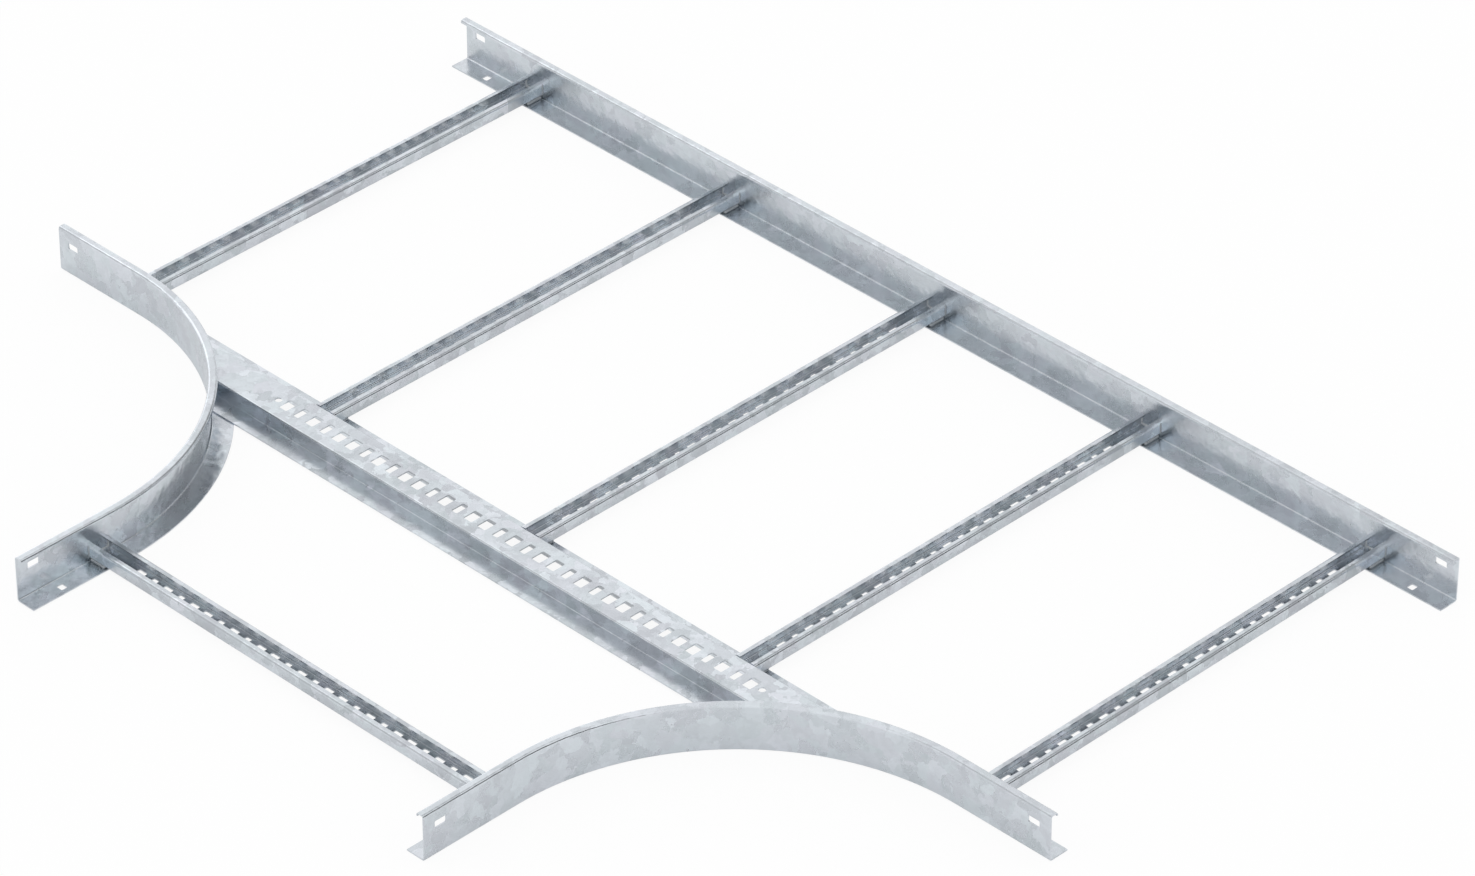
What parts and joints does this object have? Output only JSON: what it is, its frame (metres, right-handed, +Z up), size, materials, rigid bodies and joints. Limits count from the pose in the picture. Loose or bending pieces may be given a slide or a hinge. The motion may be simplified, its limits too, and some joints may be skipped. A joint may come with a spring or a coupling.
{
  "type": "cable ladder tee",
  "caption": "Galvanised cable ladder tee: a straight back rail and curved corner rails joined by perforated C-section rungs and a wide perforated beam across the branch.",
  "frame": {"origin": "centre of the plan box, on the floor under the rail flanges", "axes": "+X along the run, -Y out of the branch with the straight back rail at +Y, +Z up out of the ladder"},
  "size_m": [1.45, 1.025, 0.055],
  "materials": {
    "rail_steel": "hot-dip galvanised sheet with cloudy spangle, satin",
    "beam_steel": "hot-dip galvanised sheet with faint spangle, satin",
    "rung_steel": "galvanised cold-rolled section, satin"
  },
  "bodies": {
    "root": {"back_rail": "rail_steel", "left_corner_rail": "rail_steel", "right_corner_rail": "rail_steel", "centre_beam": "beam_steel", "run_rung_1": "rung_steel", "run_rung_2": "rung_steel", "run_rung_3": "rung_steel", "run_rung_4": "rung_steel", "run_rung_5": "rung_steel", "branch_rung": "rung_steel"}
  },
  "joints": []
}
